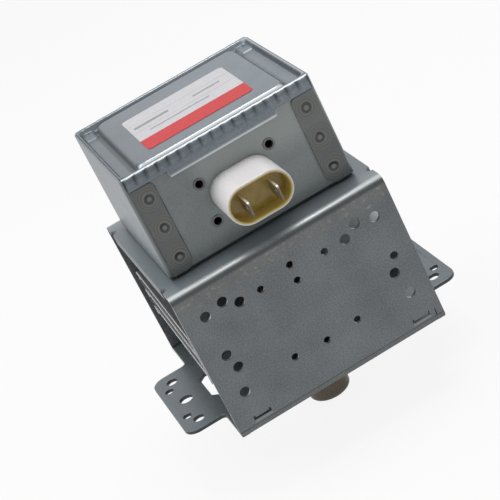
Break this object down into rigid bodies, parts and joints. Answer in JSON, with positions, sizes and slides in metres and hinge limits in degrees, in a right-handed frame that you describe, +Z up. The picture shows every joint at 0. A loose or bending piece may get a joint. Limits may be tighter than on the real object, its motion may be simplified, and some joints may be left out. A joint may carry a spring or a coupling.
{
  "type": "magnetron",
  "caption": "Microwave-oven magnetron: folded steel yoke around ring magnets and a finned anode, eared mounting plate, antenna below, crimped filter box with blade-terminal shroud on top.",
  "frame": {"origin": "antenna axis in the lower face of the mounting plate", "axes": "+Z up to the filter box, antenna along -Z, closed front wall with the terminal shroud toward -Y, ears along X"},
  "size_m": [0.1252, 0.1088, 0.1395],
  "materials": {
    "yoke_steel": "zinc-coated sheet, matt grey",
    "plate_steel": "zinc-coated sheet, satin",
    "box_steel": "zinc-coated thin sheet with weld tints",
    "lid_steel": "zinc-coated thin sheet, satin",
    "flange_steel": "zinc-coated sheet",
    "ferrite": "sintered ferrite, matt dark grey",
    "fin_aluminium": "mill-finish sheet",
    "copper": "bare copper",
    "pole_iron": "plated soft iron",
    "refractory_metal": "tungsten and molybdenum, dark",
    "cup_steel": "plated drawn steel",
    "alumina": "fired alumina, matt",
    "cap_metal": "tarnished drawn metal, brown grey",
    "gasket_wire": "knitted wire",
    "label_film": "matt white film with a red field",
    "white_plastic": "moulded white",
    "amber_resin": "cast amber resin",
    "tinned_brass": "tin-plated strip"
  },
  "bodies": {
    "root": {"yoke": "yoke_steel", "mounting_plate": "plate_steel", "magnet_upper": "ferrite", "magnet_lower": "ferrite", "fin_1": "fin_aluminium", "fin_2": "fin_aluminium", "fin_3": "fin_aluminium", "fin_4": "fin_aluminium", "fin_5": "fin_aluminium", "anode_cylinder": "copper", "anode_vanes": "copper", "anode_straps": "copper", "pole_piece_upper": "pole_iron", "pole_piece_lower": "pole_iron", "filament": "refractory_metal", "end_shield_upper": "refractory_metal", "end_shield_lower": "refractory_metal", "centre_lead": "refractory_metal", "side_lead": "refractory_metal", "cathode_cup": "cup_steel", "stem_ceramic": "alumina", "stem_terminals": "copper", "output_cup": "cup_steel", "output_ceramic": "alumina", "exhaust_tube": "copper", "antenna_lead": "copper", "antenna_cap": "cap_metal", "gasket_collar": "cup_steel", "rf_gasket": "gasket_wire", "filter_box": "box_steel", "filter_box_lid": "lid_steel", "lid_label": "label_film", "capacitor_flange": "flange_steel", "capacitor_shroud": "white_plastic", "capacitor_case": "white_plastic", "capacitor_elements": "alumina", "sealing_resin": "amber_resin", "terminal_blades": "tinned_brass", "choke_coil_left": "copper", "choke_coil_right": "copper", "choke_core_left": "ferrite", "choke_core_right": "ferrite"}
  },
  "joints": []
}
